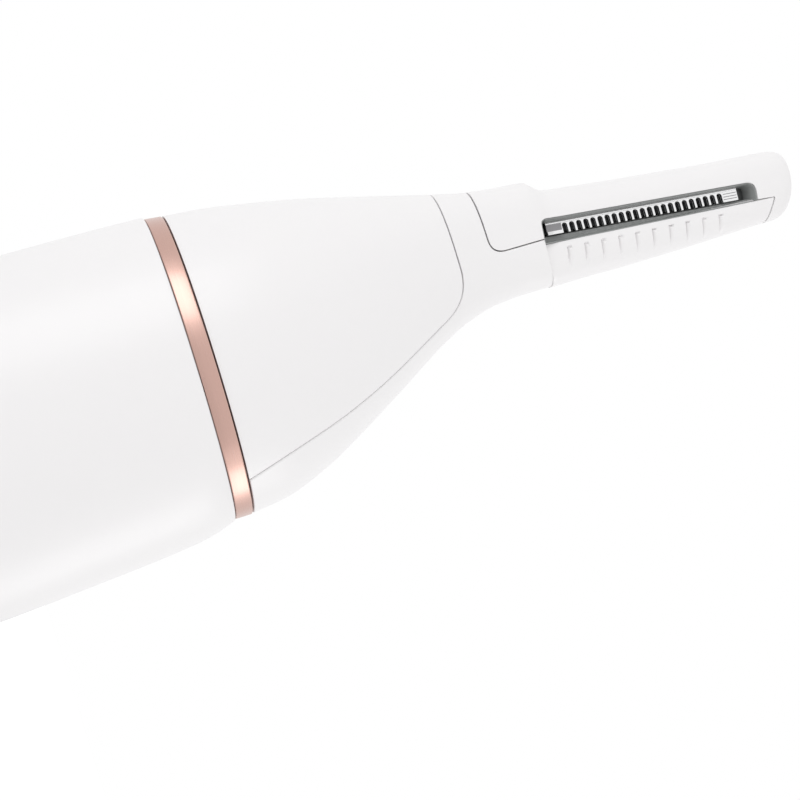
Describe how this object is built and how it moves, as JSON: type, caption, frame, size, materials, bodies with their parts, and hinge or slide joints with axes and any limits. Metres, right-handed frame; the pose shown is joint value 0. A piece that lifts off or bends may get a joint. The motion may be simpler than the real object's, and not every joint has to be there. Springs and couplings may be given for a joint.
{
  "type": "side-comb hair trimmer",
  "caption": "Slim battery trimmer with an oval grip, metal trim ring, cone-shaped head and a thin arm with a toothed comb and moving blade in a side slot.",
  "frame": {"origin": "on the grip's axis at the flat base under the battery cap", "axes": "+Z along the grip to the tip of the arm, -Y the thumb side with the switch, +X the side with the comb"},
  "size_m": [0.0254, 0.032, 0.1581],
  "materials": {
    "shell_gloss": "warm white moulded plastic, softly glossy",
    "rose_gold": "polished rose-gold plating",
    "inner_plastic": "plain white moulding",
    "dark_plastic": "low-friction dark grey moulding",
    "blade_steel": "ground and polished stainless steel",
    "plain_steel": "zinc-plated steel",
    "motor_metal": null,
    "contact_brass": "bright contact sheet",
    "seal_rubber": "soft black rubber",
    "board_green": "green circuit board",
    "cell_wrap": null
  },
  "bodies": {
    "grip": {"grip_casing": "shell_gloss", "trim_ring": "rose_gold", "chassis": "inner_plastic", "motor_can": "motor_metal", "motor_end_bell": "inner_plastic", "motor_terminal_left": "contact_brass", "motor_terminal_right": "contact_brass", "motor_pad": "seal_rubber", "battery_cell": "cell_wrap", "cell_terminal": "plain_steel", "positive_contact": "contact_brass", "negative_strip": "contact_brass", "switch_board": "board_green", "switch_body": "dark_plastic", "head_socket": "inner_plastic", "shaft_seal": "seal_rubber", "socket_screw_front": "plain_steel", "socket_screw_back": "plain_steel"},
    "switch_slider": {"switch_knob": "shell_gloss", "switch_toggle": "dark_plastic"},
    "cap": {"battery_cap": "shell_gloss", "cap_seal": "seal_rubber", "cap_contact": "contact_brass", "contact_spring": "plain_steel"},
    "rotor": {"motor_shaft": "plain_steel", "drive_cam": "dark_plastic"},
    "head": {"head_front_cover": "shell_gloss", "head_rear_shell": "shell_gloss", "arm_cover": "shell_gloss", "comb_guard": "shell_gloss", "comb_blade": "blade_steel", "blade_seat": "dark_plastic", "head_frame": "inner_plastic", "lever_pin": "plain_steel", "frame_screw_left": "plain_steel", "frame_screw_right": "plain_steel"},
    "lever": {"drive_lever": "dark_plastic"},
    "blade": {"moving_blade": "blade_steel", "blade_carrier": "dark_plastic"}
  },
  "joints": [
    {"name": "rotor_spin", "type": "hinge", "parent": "grip", "child": "rotor", "pos_m": [0, 0, 0.1], "axis": [0, 0, 1], "continuous": true},
    {"name": "switch_slide", "type": "slide", "parent": "grip", "child": "switch_slider", "axis": [0, 0, 1], "range_m": [0, 0.004]},
    {"name": "cap_pull", "type": "slide", "parent": "grip", "child": "cap", "axis": [0, 0, -1], "range_m": [0, 0.03]},
    {"name": "head_pull", "type": "slide", "parent": "grip", "child": "head", "axis": [0, 0, 1], "range_m": [0, 0.028]},
    {"name": "lever_swing", "type": "hinge", "parent": "head", "child": "lever", "pos_m": [0, 0.004, 0.11445], "axis": [1, 0, 0], "range_deg": [-2.25, 2.25]},
    {"name": "blade_stroke", "type": "slide", "parent": "head", "child": "blade", "axis": [0, 0.1021, 0.9948], "range_m": [-0.00034, 0.00034]}
  ],
  "couplings": [
    {"joint": "lever_swing", "follows": "blade_stroke", "rad_per_m": -114.65}
  ]
}
